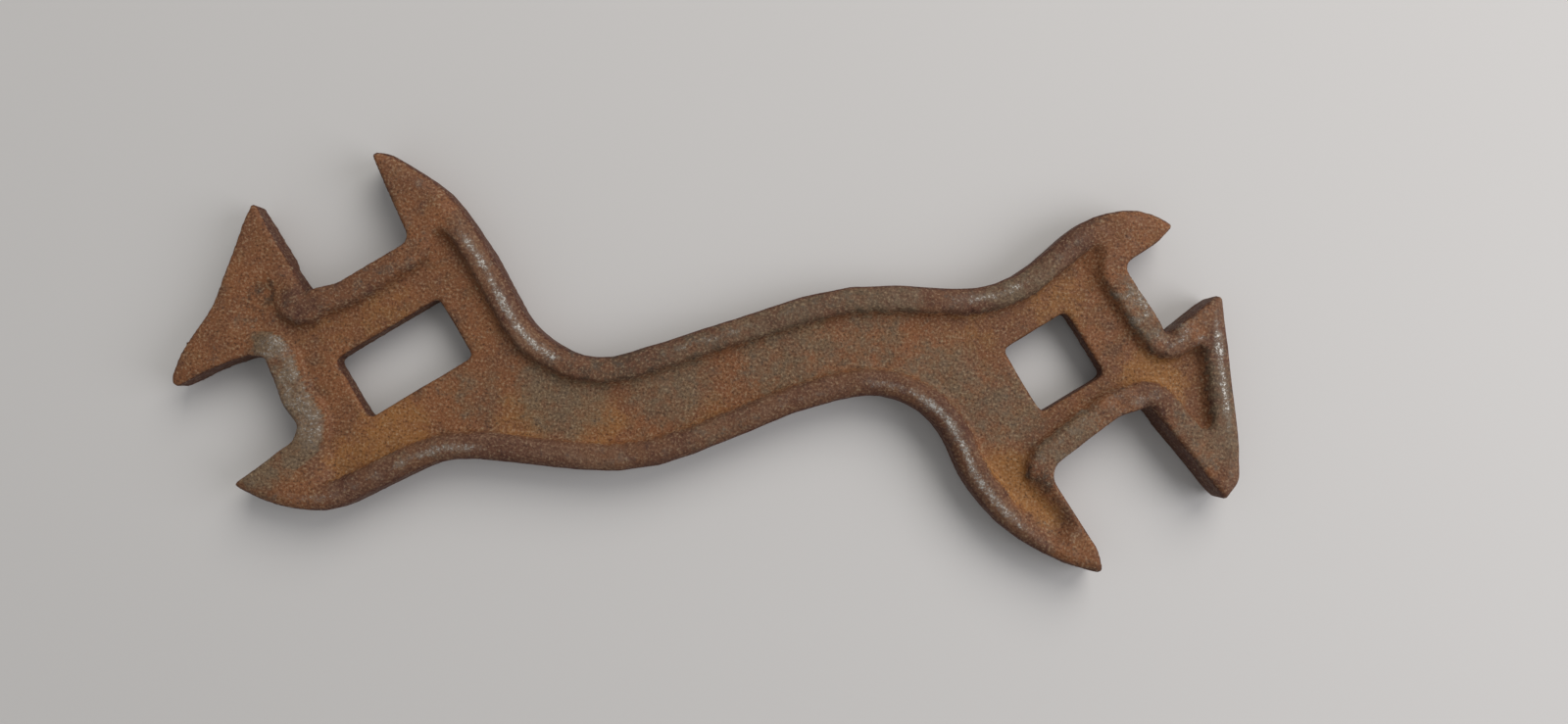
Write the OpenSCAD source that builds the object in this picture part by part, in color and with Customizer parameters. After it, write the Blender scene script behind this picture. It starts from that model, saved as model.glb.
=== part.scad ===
// Fixed implement wrench, cast in one piece of iron.
// It lies flat with its underside on Z = 0. +X runs along it, from the plain point to the rimmed point.
// The origin is below the middle of its bounding box.

/* [Size] */
// Length over the two pointed ends
wrench_length = 203; // [180:1:230]
// Height of the raised rims, from face to face
rim_height = 9.5; // [8:0.5:12]
// Width of the raised rims
rim_width = 5; // [4:0.1:5.4]
// Radius that the rim keeps around the plain point's upper notch
notch_boss = 6.2; // [5:0.1:7]
// Thickness of the web between the rims
web_thickness = 4.5; // [3:0.5:6]
// Thickness of the plain point at the left end
plain_point_thickness = 6.4; // [6:0.2:7.8]

/* [Closed openings] */
// Side of the square hole in the right head
square_hole = 14; // [12:0.5:15]
// Length of the oblong hole in the left head
oblong_hole_length = 22.8; // [20:0.2:24]
// Width of the oblong hole in the left head
oblong_hole_width = 13; // [11:0.5:14]
// Turn of both holes from the long axis, in degrees
hole_turn = 37; // [30:1:44]

/* [Finish] */
// Colour of the rusted iron
iron_color = "#70482f"; // [#70482f:Rust brown, #5a5550:Bare iron]

/* [Hidden] */

// Most degrees that one straight piece of an arc turns through
arc_step = 12;
// Radius inside the corners of the recesses
recess_corner = 1.2;
// Radius in the corners of the two holes
hole_corner = 1;
// Overrun of a cut past the face that it opens
over = 1;
// Corners of the outline, clockwise from above, each [x, y, radius of its round].
left_upper_jaw = [
    [-78.2, 4.8, 0.5], [-72, 7, 4], [-59.2, 16.5, 2], [-68.7, 32.8, 0.8],
    [-64.5, 32.5, 5], [-53.5, 27, 20], [-45.5, 18, 30]
];
handle_upper_side = [[-34.6, 2.4, 16], [-23.3, -3.7, 16], [24.2, 17, 50], [52.5, 18, 22]];
right_upper_jaw = [
    [68.5, 34.8, 18], [78.5, 36.4, 12], [84.3, 34, 0.8],
    [81.2, 30.2, 6], [75.2, 25.3, 2], [84.8, 13.2, 1]
];
rimmed_point = [[94.4, 22.3, 1], [100.3, -5.5, 20], [101, -13, 4], [98.6, -17, 0.6], [82.8, -0.8, 2]];
right_lower_jaw = [
    [77.3, -3, 6], [64.7, -14.7, 3.5], [75.3, -28.4, 6], [76.9, -32.8, 0.8],
    [69.5, -32.2, 25], [57, -26.2, 25], [49.5, -18.5, 20]
];
handle_lower_side = [[43, -7, 15], [32.5, -3, 15], [20, -6.8, 40], [-11.5, -23.5, 45], [-48, -23.3, 20]];
left_lower_jaw = [
    [-68.5, -36, 14], [-78.5, -36.2, 20], [-87.5, -32.9, 0.8], [-84.8, -30.7, 5],
    [-76.8, -23.4, 1.5], [-76, -20.4, 1.5], [-79.5, -16.8, 5], [-83.8, -8.3, 1]
];
plain_point = [
    [-87.5, -8.3, 3], [-93, -10.8, 15], [-101.3, -16, 1], [-101.8, -13.8, 2.8],
    [-99.5, -7.6, 15], [-95.2, 0.3, 15], [-91.7, 15.2, 10], [-90.4, 21.3, 0.6]
];
outline_corners = concat(
    left_upper_jaw, handle_upper_side, right_upper_jaw, rimmed_point,
    right_lower_jaw, handle_lower_side, left_lower_jaw, plain_point
);

// Part of the plain point that is thinner than the rims, out past both of its notches.
plain_point_zone = [[-77.6, 3.6], [-84, 8], [-80, 40], [-120, 40], [-120, -24], [-84, -24], [-83.2, -9]];

// Notch between the plain point and the upper jaw beside it
upper_notch = flat_point(left_upper_jaw[0]);

// Middles of the two holes
oblong_hole_middle = [-58.4, -5.8];
square_hole_middle = [64.3, 5.9];

// Points of the arc that rounds corner p, between its neighbours a and b, with radius r.
function corner_arc(a, p, b, r) =
    let (
        to_a = (a - p) / norm(a - p),
        to_b = (b - p) / norm(b - p),
        half = acos(to_a * to_b) / 2,
        centre = p + (to_a + to_b) / norm(to_a + to_b) * r / sin(half),
        first = p + to_a * r / tan(half) - centre,
        last = p + to_b * r / tan(half) - centre,
        start = atan2(first.y, first.x),
        turn = (atan2(last.y, last.x) - start + 540) % 360 - 180,
        pieces = max(1, ceil(abs(turn) / arc_step))
    )
    [for (k = [0 : pieces]) centre + r * [cos(start + turn * k / pieces), sin(start + turn * k / pieces)]];

function flat_point(corner) = [corner.x, corner.y];

// Points of a closed outline whose corners are all rounded.
function rounded(corners) =
    let (count = len(corners))
    [for (i = [0 : count - 1])
        each corner_arc(
            flat_point(corners[(i + count - 1) % count]),
            flat_point(corners[i]),
            flat_point(corners[(i + 1) % count]),
            corners[i].z
        )];

outline_points = rounded(outline_corners);
outline_x = [for (p = outline_points) p.x];
outline_y = [for (p = outline_points) p.y];
outline_middle = [max(outline_x) + min(outline_x), max(outline_y) + min(outline_y)] / 2;
// Scale from the corners' layout to the wrench's real length
layout_scale = wrench_length / (max(outline_x) - min(outline_x));
// Where a point of the layout lies on the wrench
function placed(point) = (point - outline_middle) * layout_scale;

recess_depth = (rim_height - web_thickness) / 2;
plain_point_step = (rim_height - plain_point_thickness) / 2;

module outline() {
    scale(layout_scale)
        translate(-outline_middle)
            polygon(outline_points);
}

// The recess outline keeps a rim of even width all round, and more of it at the plain point's upper notch.
module recess() {
    difference() {
        offset(r = recess_corner)
            offset(delta = -rim_width - recess_corner)
                outline();
        translate(placed(upper_notch))
            circle(notch_boss);
    }
}

module plain_point_cut() {
    scale(layout_scale)
        translate(-outline_middle)
            polygon(plain_point_zone);
}

// Cuts its outline into both faces, to the same depth.
module cut_both_faces(depth) {
    for (level = [-over, rim_height - depth])
        translate([0, 0, level])
            linear_extrude(depth + over)
                children();
}

// A rectangle with rounded corners, its middle at a point of the outline's drawing.
module hole(middle, size) {
    corners = [for (side = [[-1, -1], [-1, 1], [1, 1], [1, -1]])
        [side.x * size.x / 2, side.y * size.y / 2, hole_corner]];
    translate([placed(middle).x, placed(middle).y, -over])
        rotate(hole_turn)
            linear_extrude(rim_height + 2 * over)
                polygon(rounded(corners));
}

module wrench_casting() {
    color(iron_color)
        difference() {
            linear_extrude(rim_height) outline();
            cut_both_faces(recess_depth) recess();
            cut_both_faces(plain_point_step) plain_point_cut();
            hole(oblong_hole_middle, [oblong_hole_length, oblong_hole_width]);
            hole(square_hole_middle, [square_hole, square_hole]);
        }
}

wrench_casting();
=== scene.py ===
"""Fixed implement wrench, cast in one piece of malleable iron and left to rust, lying on a pale table."""

import math

import bmesh
import bpy
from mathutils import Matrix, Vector, noise
from mathutils.bvhtree import BVHTree


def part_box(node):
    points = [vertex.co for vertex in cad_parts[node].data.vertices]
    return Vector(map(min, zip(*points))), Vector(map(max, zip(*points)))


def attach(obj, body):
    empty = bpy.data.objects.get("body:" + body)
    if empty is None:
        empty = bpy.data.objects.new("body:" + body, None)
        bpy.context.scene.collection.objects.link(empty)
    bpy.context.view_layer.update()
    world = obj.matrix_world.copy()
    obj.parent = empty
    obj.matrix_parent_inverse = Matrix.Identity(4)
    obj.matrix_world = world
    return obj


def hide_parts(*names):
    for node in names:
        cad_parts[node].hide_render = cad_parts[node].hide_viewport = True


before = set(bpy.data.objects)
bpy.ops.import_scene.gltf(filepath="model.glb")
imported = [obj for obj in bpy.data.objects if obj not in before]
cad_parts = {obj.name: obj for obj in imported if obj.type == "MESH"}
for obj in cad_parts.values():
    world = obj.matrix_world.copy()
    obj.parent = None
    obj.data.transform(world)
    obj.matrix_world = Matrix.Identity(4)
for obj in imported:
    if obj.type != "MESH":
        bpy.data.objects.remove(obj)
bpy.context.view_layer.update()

MM = 0.001
LOWEST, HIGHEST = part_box("wrench_casting")
MID_HEIGHT = (LOWEST.z + HIGHEST.z) / 2


# Camera: almost straight above the wrench, turned a little, as a hand held it.

CAMERA_PLACE = (14.5 * MM, -5.8 * MM, 226.5 * MM)
CAMERA_TILT = math.radians(1.72)
CAMERA_TURN = math.radians(5.77)
LENS = 26.55


def make_camera():
    data = bpy.data.cameras.new("camera")
    data.sensor_width = 36
    data.lens = LENS
    data.clip_start = 0.01
    camera = bpy.data.objects.new("camera", data)
    camera.location = CAMERA_PLACE
    camera.rotation_euler = (CAMERA_TILT, 0, CAMERA_TURN)
    bpy.context.scene.collection.objects.link(camera)
    bpy.context.scene.camera = camera


make_camera()


# Casting: the CAD solid gives the plan, and the section of the rims follows from the plan.

MESH_GRID = 0.48 * MM
RIM_HALF = (HIGHEST.z - LOWEST.z) / 2
WEB_HALF = 2.25 * MM
POINT_HALF = 3.2 * MM

# Points this near an edge stand on its wall and keep their share of the height
WALL_SKIN = 0.3 * MM

# The band along an edge that is never evened out, so that it stays sharp
KEPT_EDGE = 0.6 * MM

# Rounds along the edges: how far in they reach, and how far down
BEAD_ROUND = (2.6 * MM, 2.1 * MM)
JAW_ROUND = (0.9 * MM, 0.5 * MM)
POINT_ROUND = (0.6 * MM, 0.35 * MM)
HOLE_ROUND = (0.7 * MM, 0.4 * MM)

# Where the slope from rim to web starts and ends, from the recess's edge inwards
BEAD_SLOPE = (-3.0 * MM, 1.8 * MM)
JAW_SLOPE = (-1.9 * MM, 2.8 * MM)

# How far a bead's section takes to turn into a jaw's
BEAD_TO_JAW = 2 * MM

# Crests that hands rub, and feet where dirt lodges and painted shade is laid: how far in each one is, and how
# wide. A bead's crest is measured from the outer edge, the other two from the recess's edge.
BEAD_CREST = (2.3 * MM, 0.9 * MM)
JAW_CREST = (-1.3 * MM, 1.1 * MM)
FOOT = (-0.9 * MM, 2.4 * MM)

# How far out from the middle the jaws lie, and where the rimmed point starts
JAWS_FROM, JAWS_TO = 50 * MM, 92 * MM
RIMMED_POINT_FROM = 78 * MM

# The plain point: its two notches, how soon past them it is at its own thickness, and the hollow that runs
# out on it, steeply at the top and slowly below
UPPER_NOTCH = Vector((-77.8, 4.9)) * MM
LOWER_NOTCH = Vector((-83.4, -8.2)) * MM
POINT_STEP = 5 * MM
HOLLOW_MIDDLE = Vector((-81.5, -1.5)) * MM
HOLLOW_TOP_FADE = (7.0 * MM, 10.5 * MM)
HOLLOW_LOW_FADE = (2.0 * MM, 18.0 * MM)

# The plain point's two tips, by how much it thins there, and over what length
TIPS = [Vector(tip) * MM for tip in ((-90, 21.4), (-101.5, -15.5))]
TIP_THINNING = 0.9 * MM
TIP_LENGTH = 6 * MM

# The four horns: where the recess ends, and the way to the tip. The floor rises along that way, and the rise
# fades out to the sides and far from the horn.
HORNS = [
    (Vector(end) * MM, Vector(way).normalized())
    for end, way in (
        ((-54, 20), (-0.6, 1)), ((-71, -31), (-1, -0.3)), ((71, 29), (1, 0.3)), ((71, -27), (0.7, -0.7)),
    )
]
HORN_FLOOR_HALF = 4.3 * MM
HORN_RISE = (-4 * MM, 1.5 * MM)
HORN_SIDES = (6 * MM, 9 * MM)
HORN_REACH = (16 * MM, 20 * MM)

# The lower left jaw, where the rim drops to the web in a crisp step
CRISP_JAW = Vector((-76, -14)) * MM
CRISP_SLOPE = (-0.9 * MM, 1.0 * MM)
CRISP_REACH = (9 * MM, 14 * MM)

# The pocket that carries on the recess into the lower right horn: its two ends and half its width
POCKET_ENDS = (Vector((62, -19)) * MM, Vector((68.2, -24.6)) * MM)
POCKET_HALF = 2.6 * MM

# Unevenness that a sand mould leaves: how wide and how high it is
SWELLS = (9 * MM, 0.14 * MM)
LUMPS = (2.6 * MM, 0.06 * MM)

# The painted shade on the upright sides reaches this far in from the edges
SIDE_SHADE_FADE = (2 * MM, 3 * MM)

# Places in plan that the finish goes by, in millimetres: x, y, reach and strength
RUBBED_BARE = (
    (-45, 16, 7, 0.9), (-40, 8, 8, 1), (-33, 0, 8, 1), (-76, -12, 9, 1), (-72, -19, 7, 1),
    (-81, -5, 7, 1), (-48, -21, 10, 0.6), (36, -2, 9, 0.5), (44, -6, 8, 1), (50, -14, 8, 1),
    (55, -20, 8, 1), (60, -24, 6, 0.5), (80, 18, 8, 0.8), (97, 8, 14, 0.9), (75, -2, 12, 0.3),
    (52, 18, 10, 0.5), (-3, 8, 12, 0.3), (-70, -34, 9, 0.4), (88, 12, 8, 0.6), (65, -9, 9, 0.4),
    (82, 3, 7, 0.4), (-58, -25, 8, 0.3),
)
DULL_RIMS = (
    (-76, -14, 12, 1), (-75, -24, 9, 1), (-82, -29, 7, 0.9), (-83, -5, 6, 1), (80, 17, 11, 0.7),
    (-66, 11, 12, 0.2), (98, 0, 16, 0.8), (56, 20, 12, 0.8), (68, -8, 12, 0.8), (-4, 5, 16, 0.6),
    (-52, -22, 12, 0.3), (30, 16, 14, 0.8), (12, 10, 16, 0.7), (-18, -1, 13, 0.5), (4, -15, 12, 0.4),
)
DULL_WEB = (
    (-27, -9, 14, 0.9), (-8, -5, 13, 0.8), (15, 2, 16, 0.7), (30, 6, 12, 0.6), (-44, -12, 9, 0.5),
    (44, 0, 13, 0.8), (56, -4, 12, 0.7), (-94, -3, 9, 0.5), (52, -12, 7, 0.4), (-50, -8, 5, 0.4),
)
OCHRE = (
    (58, -19, 12, 1), (84, 4, 10, 0.9), (-58, -21, 12, 0.8), (-20, -14, 9, 0.7), (-34, -15, 9, 0.7),
    (0, -11, 8, 0.5), (64, 18, 10, 0.6), (70, -12, 8, 0.5), (-66, -26, 8, 0.7), (-62, 2, 10, 0.5),
    (48, 9, 9, 0.5), (-74, 0, 9, 0.4), (20, 9, 9, 0.4), (66, -20, 9, 1),
)
# Grime with painted shade: darkens the rims' feet, the beads' inner slopes and the plain point's hollow
GRIME_AND_SHADE_SPOTS = (
    (-15, -4, 13, 1), (-26, -5, 10, 0.9), (-2, 1, 12, 0.7), (40, 13, 14, 0.25), (22, 13, 14, 0.5),
    (-54, 20, 7, 0.8), (74, 24, 11, 1), (92, 5, 14, 0.7), (63, -16, 8, 0.6), (-87, 4, 7, 1),
    (-66, 5, 13, 0.8), (-76, 0, 9, 0.8), (81, 14, 12, 1),
)


def smooth(low, high, value):
    """Rises from nothing at low to one at high, without a corner."""
    part = min(max((value - low) / (high - low), 0), 1)
    return part * part * (3 - 2 * part)


def bell(value, middle, width):
    """One in the middle, and falls to nothing on both sides."""
    return math.exp(-((value - middle) / width) ** 2)


def mix(a, b, part):
    return a + (b - a) * part


def round_over(distance, shape):
    """How far the surface drops at a distance in from an edge that has an elliptical round."""
    reach, fall = shape
    if distance >= reach:
        return 0
    return fall * (1 - math.sqrt(1 - (1 - distance / reach) ** 2))


def strength_at(place, spots):
    """How strongly any of the listed spots reaches a place."""
    found = 0
    for x, y, reach, strength in spots:
        distance = math.hypot(place.x / MM - x, place.y / MM - y)
        found = max(found, strength * (1 - smooth(0.35 * reach, reach, distance)))
    return found


def merged_copy(node):
    """The CAD node's solid with its loose triangles joined."""
    solid = bmesh.new()
    solid.from_mesh(node.data)
    bmesh.ops.remove_doubles(solid, verts=solid.verts, dist=0.002 * MM)
    solid.normal_update()
    return solid


def is_jaw(face):
    """Whether a wall faces into a jaw, and so has a sharper edge than the beads."""
    middle = face.calc_center_median()
    side = math.copysign(1, middle.x)
    looks_out = side * face.normal.x - side * 0.3 * face.normal.y
    beside_rimmed_point = middle.x > RIMMED_POINT_FROM and face.normal.x < -0.3
    return beside_rimmed_point or JAWS_FROM < abs(middle.x) < JAWS_TO and looks_out > 0.25


class Walls:
    """The solid's upright walls of one kind, drawn out tall, so that the nearest point is nearest in plan."""

    def __init__(self, solid, keep):
        tall = solid.copy()
        unwanted = [face for face in tall.faces if abs(face.normal.z) > 0.1 or not keep(face)]
        bmesh.ops.delete(tall, geom=unwanted, context="FACES")
        bmesh.ops.translate(tall, verts=tall.verts, vec=(0, 0, -MID_HEIGHT))
        bmesh.ops.scale(tall, verts=tall.verts, vec=(1, 1, 100))
        self.tree = BVHTree.FromBMesh(tall)
        tall.free()

    def distance(self, place):
        return self.tree.find_nearest((place.x, place.y, 0))[3]


def heights(face):
    """The levels of a face's lowest and highest points."""
    levels = [vert.co.z for vert in face.verts]
    return min(levels), max(levels)


def plan_of(solid):
    """Walls of each kind, told apart by the levels between which they stand."""
    web_top = MID_HEIGHT + WEB_HALF
    point_top = MID_HEIGHT + POINT_HALF
    slack = 0.25 * MM

    def outer(face):
        low, high = heights(face)
        return low < MID_HEIGHT - slack and high > web_top + slack

    def of_point(face):
        return outer(face) and heights(face)[1] < point_top + slack

    def of_hole(face):
        low, high = heights(face)
        return low < MID_HEIGHT - slack and MID_HEIGHT + slack < high < web_top + slack

    def of_recess(face):
        return MID_HEIGHT < heights(face)[0] < web_top + slack

    return {
        "bead": Walls(solid, lambda f: outer(f) and not of_point(f) and not is_jaw(f)),
        "jaw": Walls(solid, lambda f: outer(f) and not of_point(f) and is_jaw(f)),
        "point": Walls(solid, of_point),
        "hole": Walls(solid, of_hole),
        "recess": Walls(solid, of_recess),
    }


class Section:
    """What the casting's section is at a place in plan."""

    def __init__(self, place):
        self.place = Vector(place.xy)
        self.to = {kind: walls.distance(place) for kind, walls in plan.items()}
        hit = solid_tree.ray_cast((place.x, place.y, 1), (0, 0, -1))[0]
        if hit is None:  # on a wall, and only a hole's wall stands in the recess
            in_recess = self.to["hole"] < KEPT_EDGE
        else:
            in_recess = hit.z < MID_HEIGHT + (WEB_HALF + POINT_HALF) / 2
        self.into_recess = self.to["recess"] if in_recess else -self.to["recess"]
        self.into_recess = max(self.into_recess, POCKET_HALF - self.from_pocket())
        self.jaw_side = smooth(-BEAD_TO_JAW, BEAD_TO_JAW, self.to["bead"] - self.to["jaw"])
        along = (LOWER_NOTCH - UPPER_NOTCH).normalized()
        offset = self.place - UPPER_NOTCH
        past_notches = along.y * offset.x - along.x * offset.y
        self.on_point = smooth(0, POINT_STEP, past_notches)
        bead_drop, jaw_drop, crisp_drop = (
            smooth(*slope, self.into_recess) for slope in (BEAD_SLOPE, JAW_SLOPE, CRISP_SLOPE)
        )
        jaw_drop = mix(crisp_drop, jaw_drop, smooth(*CRISP_REACH, (self.place - CRISP_JAW).length))
        self.rim = 1 - mix(bead_drop, jaw_drop, max(self.jaw_side, self.on_point))

    def from_pocket(self):
        """How far a place is from the pocket's middle line."""
        start, end = POCKET_ENDS
        part = (self.place - start).dot(end - start) / (end - start).length_squared
        return (self.place - start.lerp(end, min(max(part, 0), 1))).length

    def on_horn(self):
        """Rises to one past the end of a horn's recess."""
        found = 0
        for end, way in HORNS:
            offset = self.place - end
            aside = abs(offset.x * way.y - offset.y * way.x)
            near = (1 - smooth(*HORN_SIDES, aside)) * (1 - smooth(*HORN_REACH, offset.length))
            found = max(found, near * smooth(*HORN_RISE, offset.dot(way)))
        return found

    def hollow_run_out(self):
        """Rises from nothing in the plain point's hollow to one on its flat face."""
        offset = self.place - HOLLOW_MIDDLE
        upward = smooth(-0.5, 0.6, offset.normalized().y)
        low, top = (smooth(*fade, offset.length) for fade in (HOLLOW_LOW_FADE, HOLLOW_TOP_FADE))
        return mix(low, top, upward)

    def floor_half(self):
        """Half the thickness that the web, a hollow or a horn's floor would have here."""
        floor = mix(WEB_HALF, POINT_HALF, self.on_point * self.hollow_run_out())
        floor = mix(floor, HORN_FLOOR_HALF, self.on_horn())
        return floor - round_over(self.to["hole"], HOLE_ROUND)

    def top_half(self):
        """Half the thickness that a rim or the plain point's flat face would have here."""
        top = mix(RIM_HALF, POINT_HALF, self.on_point)
        top -= round_over(self.to["bead"], BEAD_ROUND)
        top -= round_over(self.to["jaw"], JAW_ROUND)
        top -= TIP_THINNING * (1 - smooth(0, TIP_LENGTH, min((self.place - tip).length for tip in TIPS)))
        return top - round_over(self.to["point"], POINT_ROUND)

    def half_height(self):
        return mix(self.floor_half(), self.top_half(), self.rim)

    def from_edge(self):
        return min(distance for kind, distance in self.to.items() if kind != "recess")

    def crest(self):
        """One along the crest of a bead and along the inner edge of a jaw's rim."""
        on_bead = bell(self.to["bead"], *BEAD_CREST) * self.rim
        on_jaw = max(bell(self.into_recess, *JAW_CREST), 0.55 * self.rim)
        return mix(on_bead, on_jaw, self.jaw_side) * (1 - self.on_point)

    def foot(self):
        """One where the rim's slope meets the web, and at the top of the plain point's hollow."""
        hollow = 0.5 * bell(self.hollow_run_out(), 0.2, 0.6) * self.on_point
        return max(bell(self.into_recess, *FOOT) * (1 - self.on_horn()), hollow)


def plain_plate(solid):
    """The casting's plan, from the solid's middle section, as a plate of its full height."""
    plate = solid.copy()
    geometry = plate.verts[:] + plate.edges[:] + plate.faces[:]
    bmesh.ops.bisect_plane(
        plate, geom=geometry, dist=0.0001 * MM, plane_co=(0, 0, MID_HEIGHT), plane_no=(0, 0, 1),
        clear_inner=True, clear_outer=True,
    )
    bmesh.ops.triangle_fill(plate, use_beauty=True, edges=plate.edges[:])
    bmesh.ops.translate(plate, verts=plate.verts, vec=(0, 0, -RIM_HALF))
    top = bmesh.ops.extrude_face_region(plate, geom=plate.faces[:])["geom"]
    lifted = [part for part in top if isinstance(part, bmesh.types.BMVert)]
    bmesh.ops.translate(plate, verts=lifted, vec=(0, 0, 2 * RIM_HALF))
    bmesh.ops.recalc_face_normals(plate, faces=plate.faces)
    return plate


def remeshed(solid, name):
    """The solid with an even net of faces, through Blender's voxel remesh."""
    mesh = bpy.data.meshes.new(name)
    solid.to_mesh(mesh)
    solid.free()
    piece = bpy.data.objects.new(name, mesh)
    bpy.context.scene.collection.objects.link(piece)
    net = piece.modifiers.new("net", "REMESH")
    net.mode = "VOXEL"
    net.voxel_size = MESH_GRID
    depsgraph = bpy.context.evaluated_depsgraph_get()
    result = bmesh.new()
    result.from_mesh(bpy.data.meshes.new_from_object(piece.evaluated_get(depsgraph)))
    bpy.data.objects.remove(piece)
    return result


def give_section(net):
    """Moves the points of both faces to the section's height, and the walls' points in proportion."""
    for vert in net.verts:
        section = Section(vert.co)
        height = vert.co.z - MID_HEIGHT
        target = section.half_height()
        if section.from_edge() < WALL_SKIN:
            target *= min(abs(height) / RIM_HALF, 1)
        vert.co.z = MID_HEIGHT + math.copysign(target, height)


def soften(net):
    """Evens out the heights alone, in from the edges, so that edges and tips stay sharp."""
    inner = [vert for vert in net.verts if Section(vert.co).from_edge() > KEPT_EDGE]
    for _ in range(3):
        bmesh.ops.smooth_vert(
            net, verts=inner, factor=0.5, use_axis_x=False, use_axis_y=False, use_axis_z=True
        )


def cast_roughly(net):
    """Uneven faces and edges, as a sand mould leaves them."""
    net.normal_update()
    moves = []
    for vert in net.verts:
        move = 0
        for shift, (width, height) in ((0, SWELLS), (7, LUMPS)):
            move += noise.noise(vert.co / width + Vector((shift, 0, 0))) * height
        moves.append(vert.normal * move)
    for vert, move in zip(net.verts, moves):
        vert.co += move


def mark_finish(mesh):
    """Writes what the finish goes by on each point: how much a hand has darkened it, where it is rubbed bare,
    the grime with painted shade at the rims' feet and in the plain point's hollow, the grey and ochre
    patches, and the painted shade on the upright sides. Every crest is rubbed a little, and every foot holds
    a trace of grime with painted shade."""
    values = {"handled": [], "rubbed": [], "grime_and_shade": [], "dull": [], "ochre": [], "side": []}
    for vert in mesh.vertices:
        section = Section(vert.co)
        upright = smooth(0.2, 0.7, 1 - abs(vert.normal.z))
        upright *= 1 - smooth(*SIDE_SHADE_FADE, section.from_edge())
        plain = max(section.on_horn(), section.on_point, 0.6 * section.jaw_side)
        values["handled"].append(section.rim * (1 - plain))
        values["rubbed"].append(section.crest() * (0.2 + 0.8 * strength_at(vert.co, RUBBED_BARE)))
        # Grime together with painted shade, at every foot and, more faintly, on the rims
        grime_and_shade_base = max(section.foot(), 0.45 * section.rim * (1 - plain))
        values["grime_and_shade"].append(grime_and_shade_base * (0.08 + 0.92 * strength_at(vert.co, GRIME_AND_SHADE_SPOTS)))
        dull = mix(strength_at(vert.co, DULL_WEB), strength_at(vert.co, DULL_RIMS), section.rim)
        values["dull"].append(dull * (1 - upright))
        values["ochre"].append(strength_at(vert.co, OCHRE) * (1 - section.rim))
        # Painted shade: the upright sides get a darker colour, where the walls turn away from the light
        values["side"].append(upright)
    for name, numbers in values.items():
        mesh.attributes.new(name, "FLOAT", "POINT").data.foreach_set("value", numbers)


solid = merged_copy(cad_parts["wrench_casting"])
solid_tree = BVHTree.FromBMesh(solid)
plan = plan_of(solid)
casting = remeshed(plain_plate(solid), "casting")
give_section(casting)
soften(casting)
cast_roughly(casting)
bmesh.ops.recalc_face_normals(casting, faces=casting.faces)
mesh = bpy.data.meshes.new("casting")
casting.to_mesh(mesh)
casting.free()
mesh.shade_smooth()
mark_finish(mesh)
wrench = bpy.data.objects.new("wrench", mesh)
bpy.context.scene.collection.objects.link(wrench)
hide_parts("wrench_casting")
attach(wrench, "root")


# Materials

def linear(hex_colour):
    """An sRGB hex colour as Blender's linear values."""
    parts = [int(hex_colour[i:i + 2], 16) / 255 for i in (1, 3, 5)]
    return [p / 12.92 if p <= 0.04045 else ((p + 0.055) / 1.055) ** 2.4 for p in parts] + [1]


def add_node(tree, kind, inputs=None, **settings):
    """Adds a node with its own settings. Each input is a value, or the output that is linked to it."""
    made = tree.nodes.new(kind)
    for name, value in settings.items():
        setattr(made, name, value)
    for socket, value in (inputs or {}).items():
        if isinstance(value, bpy.types.NodeSocket):
            tree.links.new(value, made.inputs[socket])
        else:
            made.inputs[socket].default_value = value
    return made


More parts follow.
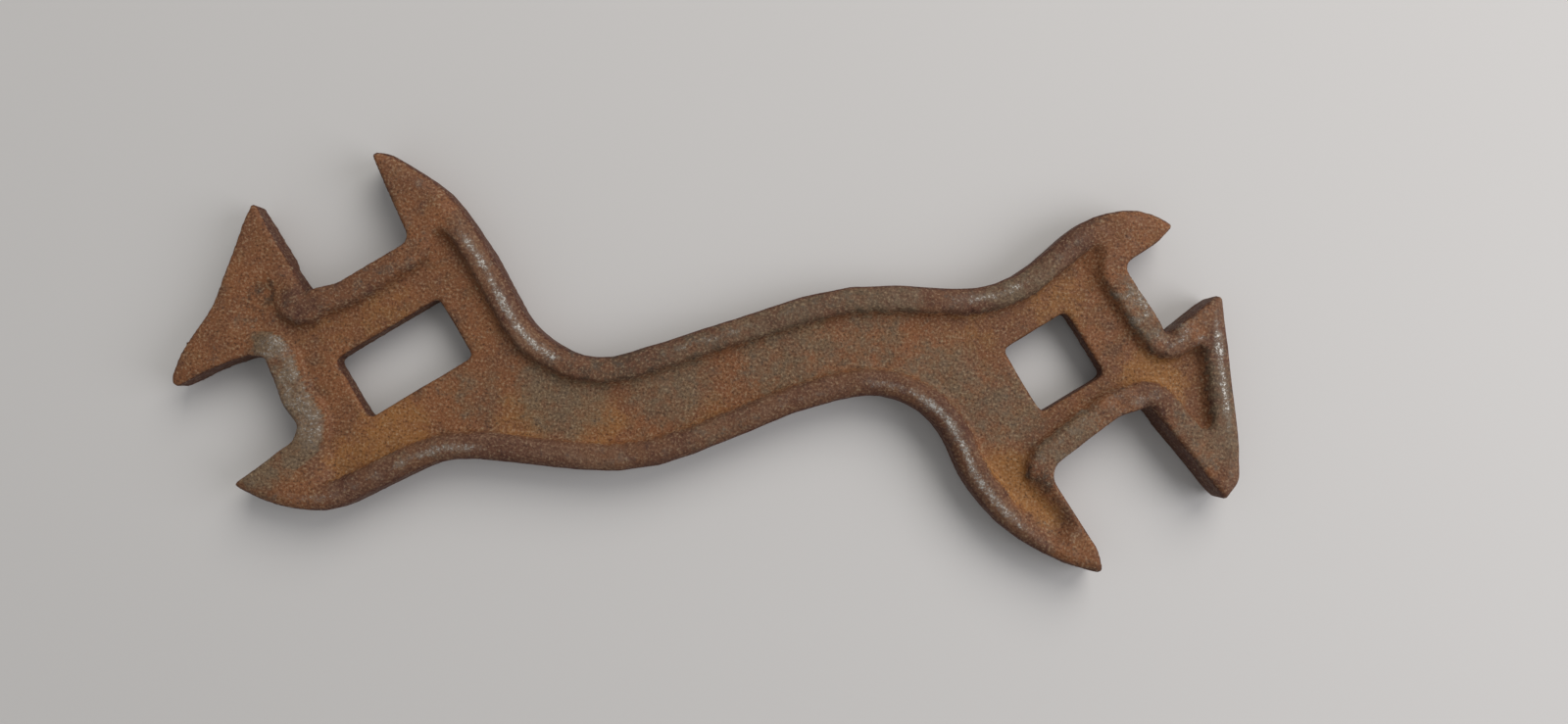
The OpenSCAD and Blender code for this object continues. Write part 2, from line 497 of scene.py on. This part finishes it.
def rusted_cast_iron():
    """Malleable iron, sand cast and left outdoors: a grainy orange-brown rust, darker and redder on the
    rims that hands rub, grey bare metal showing in specks on the crests, grime with painted shade at the
    rims' feet, and painted shade on the upright sides."""
    material = bpy.data.materials.new("rusted_cast_iron")
    material.use_nodes = True
    tree = material.node_tree
    surface = tree.nodes["Principled BSDF"]
    place = add_node(tree, "ShaderNodeTexCoord").outputs["Object"]
    in_mm = add_node(tree, "ShaderNodeVectorMath", {0: place, "Scale": 1000}, operation="SCALE").outputs[0]

    # The marks on the mesh
    level = {
        name: add_node(tree, "ShaderNodeAttribute", attribute_name=name).outputs["Fac"]
        for name in ("handled", "rubbed", "grime_and_shade", "dull", "ochre", "side")
    }

    # Patterns: size in millimetres, detail and roughness. Damp weathers iron in clouds and streaks, standing
    # drops leave blotches, knocks leave scuffs, and the crust flakes. The moulding sand left a grain of about
    # 0.2 mm, and the specks of wear are as fine. Both are drawn coarser than that, so that they show.
    for name, size, detail, rough in (
        ("clouds", 12, 4, 0.55),
        ("streaks", 6.5, 5, 0.7),
        ("blotches", 3.2, 6, 0.62),
        ("scuffs", 2.1, 5, 0.75),
        ("crust", 1.3, 4, 0.65),
        ("grain", 0.5, 2, 0.6),
        ("specks", 0.42, 2, 0.7),
    ):
        noise_inputs = {"Vector": in_mm, "Scale": 1 / size, "Detail": detail, "Roughness": rough}
        level[name] = add_node(tree, "ShaderNodeTexNoise", noise_inputs).outputs["Fac"]

    # Strengths read from one pattern or mark: where it starts and ends, and the strengths there
    for name, source, start, end, first, last in (
        ("web clouds", "clouds", 0.38, 0.62, 0, 1),
        ("web blotches", "blotches", 0.48, 0.68, 0, 0.7),
        ("web streaks", "streaks", 0.5, 0.72, 0, 0.8),
        ("rim clouds", "clouds", 0.4, 0.6, 0, 1),
        ("rim blotches", "blotches", 0.5, 0.7, 0, 0.8),
        ("rim streaks", "streaks", 0.5, 0.7, 0, 0.7),
        ("dark scuffs", "scuffs", 0.58, 0.75, 0, 0.5),
        ("dust", "grain", 0.5, 0.78, 0, 0.6),
        ("pits", "grain", 0.5, 0.24, 0, 0.75),
        ("less on rims", "handled", 0.2, 1, 1, 0.8),
        ("dryness", "blotches", 0.35, 0.65, 0.6, 0.8),
        ("ragged edge", "scuffs", 0.25, 0.75, -0.4, 0.4),
        ("mottled edge", "blotches", 0.25, 0.75, -0.4, 0.4),
        ("speckled", "specks", 0.3, 0.7, -0.5, 0.5),
        ("scratched", "scuffs", 0.35, 0.65, -0.2, 0.2),
    ):
        ramp = {"Value": level[source], "From Min": start, "From Max": end, "To Min": first, "To Max": last}
        level[name] = add_node(tree, "ShaderNodeMapRange", ramp, interpolation_type="SMOOTHSTEP").outputs[0]

    # Strengths made of two others
    for name, operation, one, other in (
        ("dust", "MULTIPLY", "dust", "less on rims"),
        ("pits", "MULTIPLY", "pits", "less on rims"),
        ("flecked edge", "ADD", "speckled", "scratched"),
    ):
        pair = {0: level[one], 1: level[other]}
        level[name] = add_node(tree, "ShaderNodeMath", pair, operation=operation).outputs[0]

    # Marks broken up by an edge pattern, so that no patch ends in a line: where a patch starts, where it is
    # full, and how strong it is there
    for name, mark, edge, start, full, most in (
        ("on web", "ochre", "ragged edge", 0.2, 1.1, 0.8),
        ("on rims", "handled", "mottled edge", 0.1, 0.9, 1),
        ("shade on sides", "side", "ragged edge", 0.2, 0.8, 0.95),
        ("dulled", "dull", "ragged edge", 0.15, 1.1, 0.85),
        ("grimy_and_shaded", "grime_and_shade", "ragged edge", 0.15, 1, 0.9),
        ("worn", "rubbed", "ragged edge", 0.1, 1.2, 0.6),
        ("bare", "rubbed", "flecked edge", 0.7, 1.35, 1),
    ):
        pair = {0: level[mark], 1: level[edge]}
        broken = add_node(tree, "ShaderNodeMath", pair, operation="ADD").outputs[0]
        ramp = {"Value": broken, "From Min": start, "From Max": full, "To Max": most}
        level[name] = add_node(tree, "ShaderNodeMapRange", ramp, interpolation_type="SMOOTHSTEP").outputs[0]

    # Coats, from the first to the last: the coat's name, how strong it is, what it lies on, and its colour
    coat = {}
    for name, strength, under, over in (
        ("web", "web clouds", "#674129", "#75492b"),
        ("web", "web blotches", "web", "#785436"),
        ("web", "web streaks", "web", "#533829"),
        ("web", "on web", "web", "#8a5d2e"),
        ("rims", "rim clouds", "#573828", "#62412c"),
        ("rims", "rim blotches", "rims", "#47281f"),
        ("rims", "rim streaks", "rims", "#6e513d"),
        ("all", "on rims", "web", "rims"),
        # Painted shade on the upright sides
        ("all", "shade on sides", "all", "#4b281a"),
        ("all", "dulled", "all", "#61513e"),
        # Grime with painted shade, a dark brown-grey
        ("all", "grimy_and_shaded", "all", "#32261c"),
        ("all", "dark scuffs", "all", "#40281e"),
        ("all", "dust", "all", "#9e896c"),
        ("all", "pits", "all", "#261811"),
        ("all", "worn", "all", "#7c7165"),
        ("all", "bare", "all", "#a8a39c"),
    ):
        colours = {0: level[strength]}
        for socket, colour in ((6, under), (7, over)):
            colours[socket] = linear(colour) if colour.startswith("#") else coat[colour]
        coat[name] = add_node(tree, "ShaderNodeMix", colours, data_type="RGBA").outputs[2]
    tree.links.new(coat["all"], surface.inputs["Base Color"])

    # Shine: the bare specks are metal, and the porous crust round them has next to none
    metal = add_node(tree, "ShaderNodeMath", {0: level["bare"], 1: 0.7}, operation="MULTIPLY")
    tree.links.new(metal.outputs[0], surface.inputs["Metallic"])
    roughness = add_node(tree, "ShaderNodeMix", {0: level["bare"], 2: level["dryness"], 3: 0.4})
    tree.links.new(roughness.outputs[0], surface.inputs["Roughness"])
    surface.inputs["Specular IOR Level"].default_value = 0.25

    # Relief: sand grain, flakes of crust and scuffs, together about 0.16 mm deep
    relief = level["grain"]
    for pattern, share in (("crust", 1.6), ("scuffs", 1.5)):
        added = {0: level[pattern], 1: share, 2: relief}
        relief = add_node(tree, "ShaderNodeMath", added, operation="MULTIPLY_ADD").outputs[0]
    bump = add_node(tree, "ShaderNodeBump", {"Height": relief, "Strength": 0.75, "Distance": 0.16 * MM})
    tree.links.new(bump.outputs["Normal"], surface.inputs["Normal"])
    return material


mesh.materials.append(rusted_cast_iron())


# Table and light

TABLE_HALF = 1.5


def make_table():
    """A table top under rolled matt paint, which gives an even pale ground without shine."""
    sheet = bmesh.new()
    bmesh.ops.create_grid(sheet, x_segments=1, y_segments=1, size=TABLE_HALF)
    sheet_mesh = bpy.data.meshes.new("table")
    sheet.to_mesh(sheet_mesh)
    sheet.free()
    table = bpy.data.objects.new("table", sheet_mesh)
    table.location.z = LOWEST.z
    bpy.context.scene.collection.objects.link(table)
    paint = bpy.data.materials.new("pale_matt_paint")
    paint.use_nodes = True
    surface = paint.node_tree.nodes["Principled BSDF"]
    surface.inputs["Base Color"].default_value = linear("#bfbcb9")
    surface.inputs["Roughness"].default_value = 0.8
    sheet_mesh.materials.append(paint)


def soft_light(name, place, size, power, colour):
    """A round lamp that faces the wrench. The larger it is, the softer its shadows."""
    data = bpy.data.lights.new(name, "AREA")
    data.shape = "DISK"
    data.size = size
    data.energy = power
    data.color = linear(colour)[:3]
    lamp = bpy.data.objects.new(name, data)
    lamp.location = place
    lamp.rotation_euler = Vector(place).to_track_quat("Z", "Y").to_euler()
    bpy.context.scene.collection.objects.link(lamp)


make_table()
soft_light("window", (0.3, 0.7, 0.75), 0.8, 7.0, "#fffdfa")
soft_light("side", (0.55, 0.0, 0.4), 0.5, 2.0, "#f8f9ff")
world = bpy.data.worlds.new("room")
world.use_nodes = True
world.node_tree.nodes["Background"].inputs["Color"].default_value = linear("#f2f4f6")
world.node_tree.nodes["Background"].inputs["Strength"].default_value = 0.46
bpy.context.scene.world = world
bpy.context.scene.view_settings.view_transform = "Standard"
